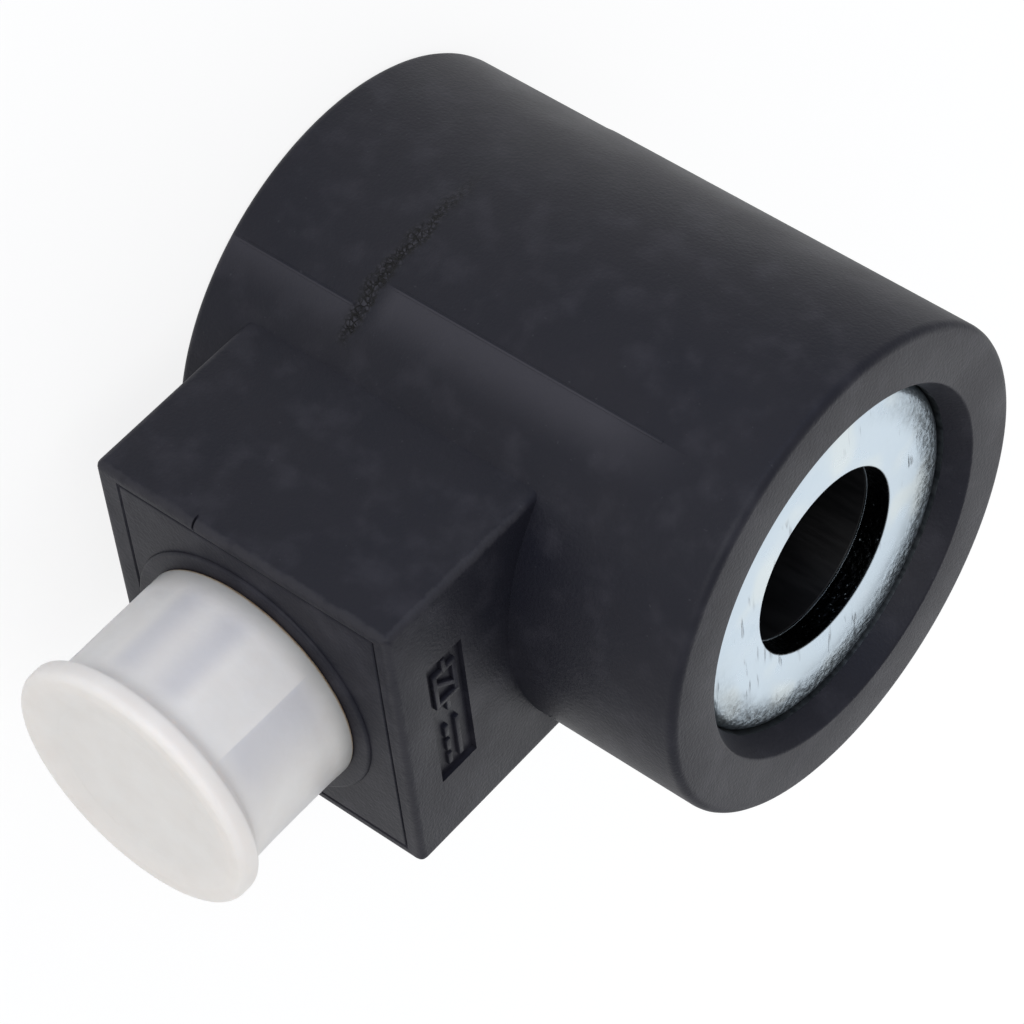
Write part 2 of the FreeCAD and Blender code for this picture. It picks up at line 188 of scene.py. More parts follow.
def combine(piece, shape, operation):
    """Join a bmesh to a piece, or cut it out of the piece."""
    bmesh.ops.recalc_face_normals(shape, faces=shape.faces)
    mesh = bpy.data.meshes.new("tool")
    shape.to_mesh(mesh)
    shape.free()
    tool = bpy.data.objects.new("tool", mesh)
    bpy.context.scene.collection.objects.link(tool)
    change = piece.modifiers.new("change", "BOOLEAN")
    change.operation = operation
    change.solver = "EXACT"
    change.object = tool
    graph = bpy.context.evaluated_depsgraph_get()
    result = bpy.data.meshes.new_from_object(piece.evaluated_get(graph))
    piece.modifiers.clear()
    piece.data = result
    bpy.data.objects.remove(tool)


def flared_box(low, high, axis, flare):
    """A cutter for a pocket whose mouth, on the low side of an axis, is eased by a bevel."""
    shape = box_shape(low, high)
    level = Vector(low)[axis]
    mouth = [face for face in shape.faces
             if all(abs(vert.co[axis] - level) < 0.01 * MM for vert in face.verts)]
    grown = bmesh.ops.extrude_face_region(shape, geom=mouth)
    verts = [item for item in grown["geom"] if isinstance(item, bmesh.types.BMVert)]
    bmesh.ops.delete(shape, geom=mouth, context="FACES")
    middle = (Vector(low) + Vector(high)) / 2
    for vert in verts:
        for side in range(3):
            if side == axis:
                vert.co[side] -= 2 * flare
            else:
                vert.co[side] += math.copysign(2 * flare, vert.co[side] - middle[side])
    return shape


def flash_ridge(length):
    """A low ridge with a rounded crown that runs along Z, its foot sunk in what it stands on."""
    ridge = box_shape((-FLASH_HEIGHT * 2, -FLASH_WIDTH / 2, -length / 2),
                      (FLASH_HEIGHT, FLASH_WIDTH / 2, length / 2))
    crown = [edge for edge in ridge.edges if all(vert.co.x > 0 for vert in edge.verts)]
    bevel_edges(ridge, crown, FLASH_HEIGHT * 0.9, 3)
    return ridge


REAR_RADIUS = BARREL_RADIUS - SPLIT_STEP
shape = bmesh.new()
spin_outline(shape, rounded((
    (REAR_RADIUS, REAR_RING, RING_EDGE),
    (REAR_RADIUS, SPLIT - SPLIT_RUN, 0),
    (BARREL_RADIUS, SPLIT, 0),
    (BARREL_RADIUS, FRONT_RING, RING_EDGE),
    (RECESS_MOUTH, FRONT_RING, RECESS_EDGE),
    (RECESS_FOOT, tube_high.z + WEDGE_LIP, 0),
    (plate_high.x - WEDGE_REACH, tube_high.z - WEDGE_DROP, 0),
    (plate_high.x, tube_high.z - WEDGE_DEPTH, 0),
    (plate_high.x, tube_high.z, 0),
    (TUBE_RADIUS, tube_high.z, 0),
    (TUBE_RADIUS, tube_low.z, 0),
    (plate_high.x, tube_low.z, 0),
    (plate_high.x, tube_low.z + WEDGE_DEPTH, 0),
    (plate_high.x - WEDGE_REACH, tube_low.z + WEDGE_DROP, 0),
    (RECESS_FOOT, tube_low.z - WEDGE_LIP, 0),
    (RECESS_MOUTH, REAR_RING, RECESS_EDGE),
)), BARREL_STEPS)
jacket = finish_piece(shape, "coil_jacket_moulding", "coil",
                      replaces=("coil_jacket",))

block = box_shape((-BLOCK_SIDE, BLOCK_FACE, BLOCK_REAR),
                  (BLOCK_SIDE, BLOCK_INNER_END, BLOCK_TOP))
outer = [edge for edge in block.edges
         if all(vert.co.y < BLOCK_FACE + MM for vert in edge.verts)
         or abs(edge.verts[0].co.y - edge.verts[1].co.y) > MM]
bevel_edges(block, outer, BLOCK_EDGE, 4)
combine(jacket, block, "UNION")

# The block's inner end must not reach into the flux tube's space. The cut is a hair wider and
# shorter than that space, so that no face of it lies in a face of the barrel.
CUT_EASE = 0.05 * MM
space = bmesh.new()
bmesh.ops.create_cone(space, cap_ends=True, segments=BARREL_STEPS,
                      radius1=TUBE_RADIUS + CUT_EASE, radius2=TUBE_RADIUS + CUT_EASE,
                      depth=tube_high.z - tube_low.z - 2 * CUT_EASE)
bmesh.ops.translate(space, vec=(0, 0, (tube_high.z + tube_low.z) / 2), verts=space.verts)
combine(jacket, space, "DIFFERENCE")

# Seat for the connector header, its mouth eased so that the seam shows as a fine groove.
combine(jacket, flared_box(
    (-HEADER_SIDE - SEAM_GAP, BLOCK_FACE + SEAM_EDGE, HEADER_REAR - SEAM_GAP),
    (HEADER_SIDE + SEAM_GAP, HEADER_BACK, HEADER_FRONT + SEAM_GAP), 1, SEAM_EDGE), "DIFFERENCE")

# Small nick where the mould's split line crosses the block's front edge.
nick = box_shape((-NICK_DEPTH, -NICK_DEPTH, -NICK_WIDTH / 2),
                 (NICK_DEPTH, NICK_DEPTH, NICK_WIDTH / 2))
bmesh.ops.rotate(nick, verts=nick.verts, cent=(0, 0, 0),
                 matrix=Matrix.Rotation(math.pi / 4, 3, "Z"))
bmesh.ops.translate(nick, verts=nick.verts, vec=(-BLOCK_SIDE, BLOCK_FACE, SPLIT + NICK_OFFSET))
combine(jacket, nick, "DIFFERENCE")

# Flash left by the mould: a fine ridge along the barrel on each side of the split.
for angle, low, high in FLASH_LINES:
    ridge = flash_ridge(high - low)
    bmesh.ops.rotate(ridge, verts=ridge.verts, cent=(0, 0, 0),
                     matrix=Matrix.Rotation(math.radians(-90 - angle), 3, "Z"))
    arm = Vector((-math.sin(math.radians(angle)), -math.cos(math.radians(angle)), 0))
    level = BARREL_RADIUS if low >= SPLIT else REAR_RADIUS
    bmesh.ops.translate(ridge, verts=ridge.verts,
                        vec=arm * level + Vector((0, 0, (low + high) / 2)))
    combine(jacket, ridge, "UNION")

# Sunken panel in the block's side.
panel = box_shape((-PANEL_HALF, PANEL_FRONT, BLOCK_TOP - PANEL_DEPTH),
                  (PANEL_HALF, PANEL_BACK, BLOCK_TOP + MM))
combine(jacket, panel, "DIFFERENCE")


def add_mark(start, end, height):
    """A raised stroke on the floor of the panel, between two points in millimetres."""
    start, end = Vector(start) * MM, Vector(end) * MM
    length = (end - start).length + MARK_STROKE * MARK_LAP
    mark = box_shape((-length / 2, -MARK_STROKE / 2, -MARK_FOOT),
                     (length / 2, MARK_STROKE / 2, height))
    top = [edge for edge in mark.edges if all(vert.co.z > 0 for vert in edge.verts)]
    bevel_edges(mark, top, MARK_EDGE, 2)
    turn = math.atan2(end.y - start.y, end.x - start.x)
    bmesh.ops.rotate(mark, verts=mark.verts, cent=(0, 0, 0), matrix=Matrix.Rotation(turn, 3, "Z"))
    middle = (start + end) / 2
    floor_height = BLOCK_TOP - PANEL_DEPTH
    bmesh.ops.translate(mark, verts=mark.verts,
                        vec=(middle.x, PANEL_FRONT + middle.y, floor_height))
    combine(jacket, mark, "UNION")


# Raised drawing symbols: a coil, as a crossed box with two leads, and direct current, as a
# line over three dashes.
# Each stroke is a hair lower than the last, so that no two tops lie in one plane.
COIL_SIGN = (
    ((-6.1, 2.0), (-5.0, 2.0)),
    ((-5.0, 0.9), (-1.6, 0.9)),
    ((-1.6, 0.9), (-1.6, 3.1)),
    ((-1.6, 3.1), (-5.0, 3.1)),
    ((-5.0, 3.1), (-5.0, 0.9)),
    ((-4.1, 0.9), (-2.5, 3.1)),
    ((-1.6, 2.0), (-0.5, 2.0)))
DIRECT_CURRENT_SIGN = (
    ((1.6, 2.6), (5.8, 2.6)),
    ((1.6, 1.4), (2.4, 1.4)),
    ((3.3, 1.4), (4.1, 1.4)),
    ((5.0, 1.4), (5.8, 1.4)))
for number, (start, end) in enumerate(COIL_SIGN + DIRECT_CURRENT_SIGN):
    add_mark(start, end, MARK_HEIGHT - number * MARK_STEP)
shade(jacket)


def srgb(code):
    """A hex colour as linear numbers for a shader."""
    values = [int(code[place:place + 2], 16) / 255 for place in (1, 3, 5)]
    return [value / 12.92 if value <= 0.04045 else ((value + 0.055) / 1.055) ** 2.4
            for value in values] + [1]


def add_node(tree, kind, *feeds, inputs=None, **settings):
    """Add a node. Feeds give its inputs in order and inputs by name, as values, colours or nodes."""
    node = tree.nodes.new("ShaderNode" + kind)
    for name, setting in settings.items():
        setattr(node, name, setting)
    for name, feed in [*enumerate(feeds), *(inputs or {}).items()]:
        if isinstance(feed, bpy.types.Node):
            feed = next(socket for socket in feed.outputs if socket.enabled)
        if isinstance(feed, bpy.types.NodeSocket):
            tree.links.new(feed, node.inputs[name])
        else:
            node.inputs[name].default_value = srgb(feed) if isinstance(feed, str) else feed
    return node


def new_material(name):
    """An empty material, its node tree and the object coordinates of the piece."""
    material = bpy.data.materials.new(name)
    material.use_nodes = True
    tree = material.node_tree
    tree.nodes.clear()
    place = add_node(tree, "TexCoord").outputs["Object"]
    return material, tree, place


def paint(piece, material):
    """Give the whole of a piece one material."""
    piece.data.materials.clear()
    piece.data.materials.append(material)


# A value that turns smoothly from one level into another.
SMOOTH = {"interpolation_type": "SMOOTHSTEP"}

# Moulded glass-filled nylon, black: a satin skin with the fine grain of the mould, cloudy where
# the glass fibres lie at the surface, and a rough craze where two flows of plastic met.
nylon, tree, place = new_material("black_glass_filled_nylon")
x, y, z = add_node(tree, "SeparateXYZ", place).outputs
# How far round the barrel a point lies from the block's middle, towards -X.
minus_x = add_node(tree, "Math", x, -1.0, operation="MULTIPLY")
minus_y = add_node(tree, "Math", y, -1.0, operation="MULTIPLY")
round_angle = add_node(tree, "Math", minus_x, minus_y, operation="ARCTAN2")

# The flows met along a short, wandering line across the barrel.
meeting = add_node(tree, "MapRange", round_angle, 0.80, 1.60, 11.35 * MM, 12.75 * MM, **SMOOTH)
wander = add_node(tree, "TexNoise", inputs={"Vector": place, "Scale": 1 / (2.2 * MM), "Detail": 3})
wander = add_node(tree, "Math", wander, 0.5, operation="SUBTRACT")
wander = add_node(tree, "Math", wander, 1.6 * MM, operation="MULTIPLY")
away = add_node(tree, "Math", z, wander, operation="ADD")
away = add_node(tree, "Math", away, meeting, operation="SUBTRACT")
away = add_node(tree, "Math", away, operation="ABSOLUTE")
fine_noise = add_node(tree, "TexNoise", inputs={"Vector": place, "Scale": 1 / (0.9 * MM), "Detail": 5})
band = add_node(tree, "MapRange", away, 0.2 * MM, 1.1 * MM, 1.0, 0.0, **SMOOTH)
for value, low, high, start, end in ((round_angle, 0.80, 0.88, 0.0, 1.0),
                                     (round_angle, 1.25, 1.75, 1.0, 0.0),
                                     (fine_noise, 0.32, 0.5, 0.35, 1.0)):
    part = add_node(tree, "MapRange", value, low, high, start, end, **SMOOTH)
    band = add_node(tree, "Math", band, part, operation="MULTIPLY")

# Between each flash line and the block a painted sheen: the skin is painted paler near the line and
# fades back to its plain tone towards the block.
painted_sheens = []
for flash_line, first, steps in (
        (FLASH_LINES[0], 0.86, ((12 * MM, 14 * MM, 0.0, 1.0), (33 * MM, 43 * MM, 1.0, 0.0))),
        (FLASH_LINES[1], 0.80, ((10 * MM, 12 * MM, 1.0, 0.0),))):
    painted_sheen = add_node(tree, "MapRange", round_angle, first, first + 0.22, **SMOOTH)
    inside = add_node(tree, "Math", round_angle, math.radians(flash_line[0]), operation="LESS_THAN")
    painted_sheen = add_node(tree, "Math", painted_sheen, inside, operation="MULTIPLY")
    for step in steps:
        part = add_node(tree, "MapRange", z, *step, **SMOOTH)
        painted_sheen = add_node(tree, "Math", painted_sheen, part, operation="MULTIPLY")
    painted_sheens.append(painted_sheen)
painted_sheen = add_node(tree, "Math", *painted_sheens, operation="MAXIMUM")

# Wear and painted highlight along the block's edges: how near a point is to two of the block's faces
# at once.
from_middle = add_node(tree, "Math", x, operation="ABSOLUTE")
near_side = add_node(tree, "Math", BLOCK_SIDE, from_middle, operation="SUBTRACT")
near_side = add_node(tree, "Math", near_side, operation="ABSOLUTE")
near_face = add_node(tree, "Math", y, BLOCK_FACE, operation="SUBTRACT")
near_face = add_node(tree, "Math", near_face, operation="ABSOLUTE")
from_middle = add_node(tree, "Math", z, (BLOCK_TOP + BLOCK_REAR) / 2, operation="SUBTRACT")
from_middle = add_node(tree, "Math", from_middle, operation="ABSOLUTE")
near_end = add_node(tree, "Math", (BLOCK_TOP - BLOCK_REAR) / 2, from_middle, operation="SUBTRACT")
near_end = add_node(tree, "Math", near_end, operation="ABSOLUTE")
edge = add_node(tree, "Math", near_side, near_face, operation="ADD")
for first, second in ((near_side, near_end), (near_face, near_end)):
    other = add_node(tree, "Math", first, second, operation="ADD")
    edge = add_node(tree, "Math", edge, other, operation="MINIMUM")
ragged = add_node(tree, "TexNoise", inputs={"Vector": place, "Scale": 1 / (0.9 * MM), "Detail": 5})
ragged = add_node(tree, "Math", ragged, 0.5, operation="SUBTRACT")
ragged = add_node(tree, "Math", ragged, 0.7 * MM, operation="MULTIPLY")
edge = add_node(tree, "Math", edge, ragged, operation="ADD")
near_edge = add_node(tree, "MapRange", edge, 0.4 * MM, 0.7 * MM, 1.0, 0.0, **SMOOTH)
on_block = add_node(tree, "MapRange", near_face, 15.5 * MM, 16.5 * MM, 1.0, 0.0, **SMOOTH)
# This mask is edge wear together with a painted highlight along the block's edges.
edge_wear_and_highlight = add_node(tree, "Math", near_edge, on_block, operation="MULTIPLY")

lumps = add_node(tree, "TexNoise", inputs={"Vector": place, "Scale": 1 / (0.35 * MM), "Detail": 4})
grain = add_node(tree, "TexNoise", inputs={"Vector": place, "Scale": 1 / (0.3 * MM), "Detail": 3})
cloud = add_node(tree, "TexNoise", inputs={"Vector": place, "Scale": 1 / (7 * MM), "Detail": 4})
dust = add_node(tree, "TexNoise", inputs={"Vector": place, "Scale": 1 / (3 * MM), "Detail": 8})
dust = add_node(tree, "MapRange", dust, 0.45, 0.75, **SMOOTH)
fleck = add_node(tree, "TexNoise", inputs={"Vector": place, "Scale": 1 / (0.4 * MM), "Detail": 2})
fleck = add_node(tree, "MapRange", fleck, 0.70, 0.80, **SMOOTH)
cells = add_node(tree, "TexVoronoi", inputs={"Vector": place, "Scale": 1 / (0.42 * MM)},
                 feature="DISTANCE_TO_EDGE")
crack = add_node(tree, "MapRange", cells, 0.0, 0.16, 1.0, 0.0, **SMOOTH)
crack = add_node(tree, "Math", band, crack, operation="MULTIPLY")

tone = add_node(tree, "Mix", inputs={0: cloud, 6: "#12141f", 7: "#232228"}, data_type="RGBA")
raised = add_node(tree, "MapRange", lumps, 0.42, 0.62, **SMOOTH)
scar = add_node(tree, "Mix", inputs={0: raised, 6: "#08080a", 7: "#3a393f"}, data_type="RGBA")
# The mask between each flash line and the block paints a paler sheen there.
for mask, share, colour in ((dust, 0.45, "#34333a"), (painted_sheen, 0.9, "#39383e"),
                            (edge_wear_and_highlight, 0.5, "#38373b"), (fleck, 0.5, "#3d3d42"),
                            (band, 0.75, scar), (crack, 1.0, "#040404")):
    cover = add_node(tree, "Math", mask, share, operation="MULTIPLY")
    tone = add_node(tree, "Mix", inputs={0: cover, 6: tone, 7: colour}, data_type="RGBA")

dull = add_node(tree, "MapRange", cloud, 0.3, 0.7, 0.43, 0.49, **SMOOTH)
duller = add_node(tree, "Math", grain, 0.08, operation="MULTIPLY")
dull = add_node(tree, "Math", dull, duller, operation="ADD")
height = add_node(tree, "Math", grain, 0.5, operation="SUBTRACT")
height = add_node(tree, "Math", height, 0.04 * MM, operation="MULTIPLY")
raised = add_node(tree, "Math", lumps, 0.12 * MM, operation="MULTIPLY")
sunk = add_node(tree, "Math", crack, 0.08 * MM, operation="MULTIPLY")
rough = add_node(tree, "Math", raised, sunk, operation="SUBTRACT")
rough = add_node(tree, "Math", band, rough, operation="MULTIPLY")
height = add_node(tree, "Math", height, rough, operation="ADD")
bump = add_node(tree, "Bump", inputs={"Height": height, "Strength": 1.0, "Distance": 1.0})
skin = add_node(tree, "BsdfPrincipled", inputs={
    "Base Color": tone, "Roughness": dull, "Specular IOR Level": 0.21, "Normal": bump})
add_node(tree, "OutputMaterial", skin)
paint(jacket, nylon)


# ---- Connector header ------------------------------------------------------------------------
# A separate moulding of the same black nylon, set flush in the block's face before the jacket
# is moulded round it. A low round boss and a rectangular shroud stand out for the plug.

CONNECTOR_X = 1.0 * MM
CONNECTOR_Z = (BLOCK_REAR + BLOCK_TOP) / 2 - 0.65 * MM
BOSS_RADIUS = 11.7 * MM
BOSS_HEIGHT = 0.3 * MM
SHROUD_HALF = (7.5 * MM, 5.3 * MM)
SHROUD_WALL = 1.4 * MM
SHROUD_CORNER = 1.5 * MM
SHROUD_RIM = header_low.y
SHROUD_RIM_EDGE = 0.25 * MM
CAVITY_CORNER = 0.4 * MM
CAVITY_FLOOR = HEADER_BACK - 2.0 * MM
BLADE_HALF = (0.4 * MM, 1.4 * MM)
BLADE_PITCH = 7.0 * MM


def about_connector(half_x, half_z, inner, outer):
    """A bmesh box about the connector's axis, between two levels along Y."""
    return box_shape((CONNECTOR_X - half_x, outer, CONNECTOR_Z - half_z),
                     (CONNECTOR_X + half_x, inner, CONNECTOR_Z + half_z))


def lies_along(edge, axis):
    """True for an edge that runs along the axis numbered 0, 1 or 2."""
    run = edge.verts[1].co - edge.verts[0].co
    return abs(abs(run[axis]) - run.length) < 0.001 * MM


base = box_shape((-HEADER_SIDE, BLOCK_FACE, HEADER_REAR), (HEADER_SIDE, HEADER_BACK, HEADER_FRONT))
bevel_edges(base, [edge for edge in base.edges
                   if all(vert.co.y < BLOCK_FACE + 0.01 * MM for vert in edge.verts)],
            SEAM_EDGE, 3)
header = finish_piece(base, "connector_header_moulding", "coil",
                      replaces=("connector_header",))

boss = bmesh.new()
bmesh.ops.create_cone(boss, cap_ends=True, segments=128, radius1=BOSS_RADIUS, radius2=BOSS_RADIUS,
                      depth=2 * BOSS_HEIGHT)
bevel_edges(boss, [edge for edge in boss.edges if all(vert.co.z > 0 for vert in edge.verts)],
            BOSS_HEIGHT * 0.95, 4)
bmesh.ops.rotate(boss, verts=boss.verts, cent=(0, 0, 0),
                 matrix=Matrix.Rotation(math.pi / 2, 3, "X"))
bmesh.ops.translate(boss, verts=boss.verts, vec=(CONNECTOR_X, BLOCK_FACE, CONNECTOR_Z))
combine(header, boss, "UNION")

shroud = about_connector(*SHROUD_HALF, BLOCK_FACE + MM, SHROUD_RIM)
bevel_edges(shroud, [edge for edge in shroud.edges if lies_along(edge, 1)], SHROUD_CORNER, 8)
bevel_edges(shroud, [edge for edge in shroud.edges
                     if all(vert.co.y < SHROUD_RIM + 0.01 * MM for vert in edge.verts)],
            SHROUD_RIM_EDGE, 2)
combine(header, shroud, "UNION")
cavity = about_connector(SHROUD_HALF[0] - SHROUD_WALL, SHROUD_HALF[1] - SHROUD_WALL, CAVITY_FLOOR,
                         SHROUD_RIM - MM)
bevel_edges(cavity, [edge for edge in cavity.edges if lies_along(edge, 1)], CAVITY_CORNER, 3)
combine(header, cavity, "DIFFERENCE")
for side in (-1, 1):
    slot = about_connector(*BLADE_HALF, HEADER_BACK + MM, CAVITY_FLOOR - MM)
    bmesh.ops.translate(slot, verts=slot.verts, vec=(side * BLADE_PITCH / 2, 0, 0))
    combine(header, slot, "DIFFERENCE")
shade(header)
paint(header, nylon)


# ---- Flux plates -----------------------------------------------------------------------------
# Thick steel washers punched from sheet, so their outer edge is rolled over and the hole's wall
# is torn. Bright zinc plating, scuffed from handling.

PLATE_ROLL = 1.4 * MM
PLATE_HOLE_EDGE = 0.18 * MM
HOLE_EASE = 0.08 * MM
BURR_HEIGHT = 0.14 * MM
PLATE_STEPS = 192
BORE_RADIUS = 8.0 * MM

# Bright zinc on punched steel: a bluish white, softly mirrored skin, dull grey and pitted round the
# rolled edge with painted shade on one side, scuffed across the face, and on the wall of the hole
# painted almost black as painted shade, with painted glints.
zinc, tree, place = new_material("zinc_plated_steel")
flat = add_node(tree, "VectorMath", place, (1, 1, 0), operation="MULTIPLY")
reach = add_node(tree, "VectorMath", flat, operation="LENGTH")
cloud = add_node(tree, "TexNoise", inputs={"Vector": place, "Scale": 1 / (3.5 * MM), "Detail": 5})
pits = add_node(tree, "TexNoise", inputs={"Vector": place, "Scale": 1 / (0.5 * MM), "Detail": 4})
fine_noise = add_node(tree, "TexNoise", inputs={"Vector": place, "Scale": 1 / (0.3 * MM), "Detail": 3})

# The plating wore thin round the rolled edge, with a ragged border; the darkening there is also
# painted shade, heavier on one side.
border = add_node(tree, "TexNoise", inputs={"Vector": place, "Scale": 1 / (1.6 * MM), "Detail": 3})
border = add_node(tree, "Math", border, 0.5, operation="SUBTRACT")
border = add_node(tree, "Math", border, 1.4 * MM, operation="MULTIPLY")
border = add_node(tree, "Math", reach, border, operation="ADD")
rim = add_node(tree, "MapRange", border, 11.2 * MM, 13.8 * MM, **SMOOTH)
# Painted shade: the rim is darkened more on one side of the plate.
shaded_side = add_node(tree, "VectorMath", place, (0.87, 0.5, 0), operation="DOT_PRODUCT")
shaded_side = add_node(tree, "MapRange", shaded_side, -9 * MM, 5 * MM, **SMOOTH)
rim = add_node(tree, "Math", rim, shaded_side, operation="MULTIPLY")

# Short scuffs, all in one direction and only in patches.
stretched = add_node(tree, "Mapping", inputs={
    "Vector": place, "Rotation": (0, 0, 0.6), "Scale": (0.12, 1, 1)})
scuff = add_node(tree, "TexNoise", inputs={
    "Vector": stretched, "Scale": 1 / (0.6 * MM), "Detail": 2})
scuff = add_node(tree, "MapRange", scuff, 0.6, 0.7, **SMOOTH)
patch = add_node(tree, "TexNoise", inputs={"Vector": place, "Scale": 1 / (4 * MM), "Detail": 1})
patch = add_node(tree, "MapRange", patch, 0.5, 0.62, **SMOOTH)
scuff = add_node(tree, "Math", scuff, patch, operation="MULTIPLY")
stain = add_node(tree, "TexNoise", inputs={"Vector": place, "Scale": 1 / (5 * MM), "Detail": 1})
stain = add_node(tree, "MapRange", stain, 0.5, 0.7, **SMOOTH)

# The hole's wall is painted near black as painted shade, with painted glints where the fine noise is
# high.
wall = add_node(tree, "MapRange", reach, BORE_RADIUS + 0.02 * MM, BORE_RADIUS + 0.06 * MM,
                **SMOOTH)
past_wall = add_node(tree, "MapRange", reach, BORE_RADIUS + 0.12 * MM, BORE_RADIUS + 0.2 * MM,
                     1.0, 0.0, **SMOOTH)
wall = add_node(tree, "Math", wall, past_wall, operation="MULTIPLY")

tone = add_node(tree, "Mix", inputs={0: cloud, 6: "#8f9da8", 7: "#afbac1"}, data_type="RGBA")
pitted = add_node(tree, "MapRange", pits, 0.35, 0.65, **SMOOTH)
rim_tone = add_node(tree, "Mix", inputs={0: pitted, 6: "#2b3033", 7: "#7b858c"}, data_type="RGBA")
painted_glints = add_node(tree, "MapRange", fine_noise, 0.62, 0.8, **SMOOTH)
wall_shade_and_glints = add_node(tree, "Mix", inputs={0: painted_glints, 6: "#0e0f10", 7: "#7b8488"}, data_type="RGBA")
for mask, share, colour in ((stain, 0.3, "#bfc0b4"), (scuff, 0.55, "#72787c"),
                            (rim, 0.85, rim_tone), (wall, 1.0, wall_shade_and_glints)):
    cover = add_node(tree, "Math", mask, share, operation="MULTIPLY")
    tone = add_node(tree, "Mix", inputs={0: cover, 6: tone, 7: colour}, data_type="RGBA")

dull = add_node(tree, "MapRange", cloud, 0.3, 0.7, 0.25, 0.34, **SMOOTH)
duller = add_node(tree, "Math", rim, 0.08, operation="MULTIPLY")
dull = add_node(tree, "Math", dull, duller, operation="ADD")
rough = add_node(tree, "Math", rim, wall, operation="ADD")
rough = add_node(tree, "Math", rough, 0.2 * MM, operation="MULTIPLY")
rough = add_node(tree, "Math", pits, rough, operation="MULTIPLY")
waves = add_node(tree, "Math", cloud, scuff, operation="SUBTRACT")
waves = add_node(tree, "Math", waves, 0.03 * MM, operation="MULTIPLY")
height = add_node(tree, "Math", rough, waves, operation="ADD")
bump = add_node(tree, "Bump", inputs={"Height": height, "Strength": 1.0, "Distance": 1.0})
skin = add_node(tree, "BsdfPrincipled", inputs={
    "Base Color": tone, "Roughness": dull, "Metallic": 1.0, "Normal": bump})
add_node(tree, "OutputMaterial", skin)

for name in ("front_flux_plate", "rear_flux_plate"):
    low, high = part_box(name)
    rolls = (0, PLATE_ROLL) if name.startswith("front") else (PLATE_ROLL, 0)
    shape = bmesh.new()
    spin_outline(shape, rounded((
        (BORE_RADIUS, low.z, 0),
        (high.x, low.z, rolls[0]),
        (high.x, high.z, rolls[1]),
        (BORE_RADIUS + HOLE_EASE, high.z, PLATE_HOLE_EDGE),
        (BORE_RADIUS + HOLE_EASE, low.z + BURR_HEIGHT, 0),
        (BORE_RADIUS, low.z + BURR_HEIGHT * 0.7, 0),
    ) if rolls[1] else (
        (BORE_RADIUS + HOLE_EASE, low.z, PLATE_HOLE_EDGE),
        (high.x, low.z, rolls[0]),
        (high.x, high.z, rolls[1]),
        (BORE_RADIUS, high.z, 0),
        (BORE_RADIUS, high.z - BURR_HEIGHT * 0.7, 0),
        (BORE_RADIUS + HOLE_EASE, high.z - BURR_HEIGHT, 0),
    ), 6), PLATE_STEPS)
    plate = finish_piece(shape, name + "_washer", "coil", replaces=(name,))
    paint(plate, zinc)


# ---- Bobbin ----------------------------------------------------------------------------------
# The spool that carries the winding, moulded in black nylon; its inside is the coil's bore.

bobbin_low, bobbin_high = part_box("bobbin")
HUB_WALL = 1.2 * MM
FLANGE = 1.5 * MM
BORE_LEAD_IN = 0.12 * MM
hub = BORE_RADIUS + HUB_WALL
shape = bmesh.new()
spin_outline(shape, rounded((
    (BORE_RADIUS, bobbin_low.z, BORE_LEAD_IN),
    (bobbin_high.x, bobbin_low.z, 0),
    (bobbin_high.x, bobbin_low.z + FLANGE, 0),
    (hub, bobbin_low.z + FLANGE, 0),
    (hub, bobbin_high.z - FLANGE, 0),
    (bobbin_high.x, bobbin_high.z - FLANGE, 0),
    (bobbin_high.x, bobbin_high.z, 0),
    (BORE_RADIUS, bobbin_high.z, BORE_LEAD_IN),
), 3), PLATE_STEPS)
bobbin = finish_piece(shape, "bobbin_spool", "coil", replaces=("bobbin",))

# Unfilled black nylon with a plain, slightly drawn skin from the mould's core pin.
spool_nylon, tree, place = new_material("black_nylon_spool")
drawn = add_node(tree, "Mapping", inputs={"Vector": place, "Scale": (1, 1, 0.1)})
streaks = add_node(tree, "TexNoise", inputs={
    "Vector": drawn, "Scale": 1 / (0.5 * MM), "Detail": 3})
tone = add_node(tree, "Mix", inputs={0: streaks, 6: "#060607", 7: "#0b0b0d"}, data_type="RGBA")
dull = add_node(tree, "MapRange", streaks, 0.3, 0.7, 0.4, 0.55, **SMOOTH)
skin = add_node(tree, "BsdfPrincipled", inputs={
    "Base Color": tone, "Roughness": dull, "Specular IOR Level": 0.3})
add_node(tree, "OutputMaterial", skin)
paint(bobbin, spool_nylon)


# ---- Flux tube and winding -------------------------------------------------------------------
# A drawn steel tube round the winding closes the magnetic circle between the plates. The winding
# is layers of enamelled copper wire, held by a wrap of yellow polyester tape.

# Drawn low-carbon steel: grey, with fine lines along the tube that the die left.
steel, tree, place = new_material("drawn_steel")
drawn = add_node(tree, "Mapping", inputs={"Vector": place, "Scale": (1, 1, 0.05)})
lines = add_node(tree, "TexNoise", inputs={"Vector": drawn, "Scale": 1 / (0.4 * MM), "Detail": 4})
tone = add_node(tree, "Mix", inputs={0: lines, 6: "#55585b", 7: "#7c8083"}, data_type="RGBA")
dull = add_node(tree, "MapRange", lines, 0.3, 0.7, 0.35, 0.5, **SMOOTH)
height = add_node(tree, "Math", lines, 0.02 * MM, operation="MULTIPLY")
bump = add_node(tree, "Bump", inputs={"Height": height, "Strength": 1.0, "Distance": 1.0})
skin = add_node(tree, "BsdfPrincipled", inputs={
    "Base Color": tone, "Metallic": 1.0, "Roughness": dull, "Normal": bump})
add_node(tree, "OutputMaterial", skin)
paint(nodes["flux_tube"], steel)

# Enamelled copper wire, laid turn beside turn: a glossy, reddish ridge every wire's width.
WIRE = 0.5 * MM
copper, tree, place = new_material("enamelled_copper_wire")
